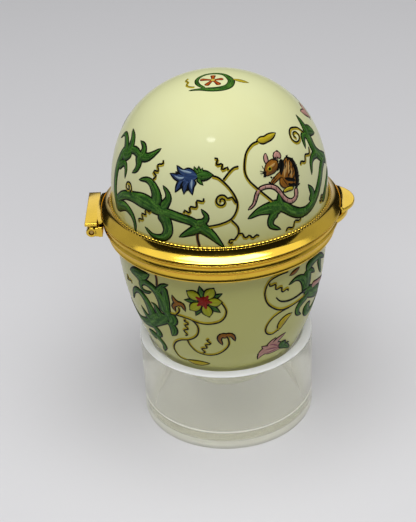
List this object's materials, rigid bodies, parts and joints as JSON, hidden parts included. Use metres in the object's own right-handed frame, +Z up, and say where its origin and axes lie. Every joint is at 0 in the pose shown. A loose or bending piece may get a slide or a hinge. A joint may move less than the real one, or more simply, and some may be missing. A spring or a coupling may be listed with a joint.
{
  "type": "trinket box",
  "caption": "Egg-shaped glazed porcelain trinket box with hinged domed lid, gilt brass rim mounts and thumb tab, standing in a clear acrylic ring.",
  "frame": {"origin": "on the egg's axis at the bottom face of the stand ring", "axes": "+Z up along the egg's axis; the hinge is at -X and the thumb tab at +X; the viewer is at -Y"},
  "size_m": [0.0524, 0.047, 0.074],
  "materials": {
    "glaze": "gloss ivory glaze with painted scrolling foliage",
    "gilt_brass": "polished gilt",
    "pin_brass": "plain drawn wire",
    "acrylic": "clear polished",
    "plaster": "matt"
  },
  "bodies": {
    "stand": {"stand_ring": "acrylic"},
    "base": {"base_cup": "glaze", "base_bezel": "gilt_brass", "base_cement": "plaster", "locating_collar": "gilt_brass", "base_catch": "gilt_brass", "hinge_base_leaf": "gilt_brass", "hinge_pin": "pin_brass"},
    "lid": {"lid_dome": "glaze", "lid_bezel": "gilt_brass", "lid_cement": "plaster", "hinge_lid_leaf": "gilt_brass", "thumb_tab": "gilt_brass"}
  },
  "joints": [
    {"name": "box_lift", "type": "slide", "parent": "stand", "child": "base", "axis": [0, 0, 1], "range_m": [0, 0.05]},
    {"name": "lid_hinge", "type": "hinge", "parent": "base", "child": "lid", "pos_m": [-0.025, 0, 0.0457], "axis": [0, -1, 0], "range_deg": [0, 100]}
  ]
}
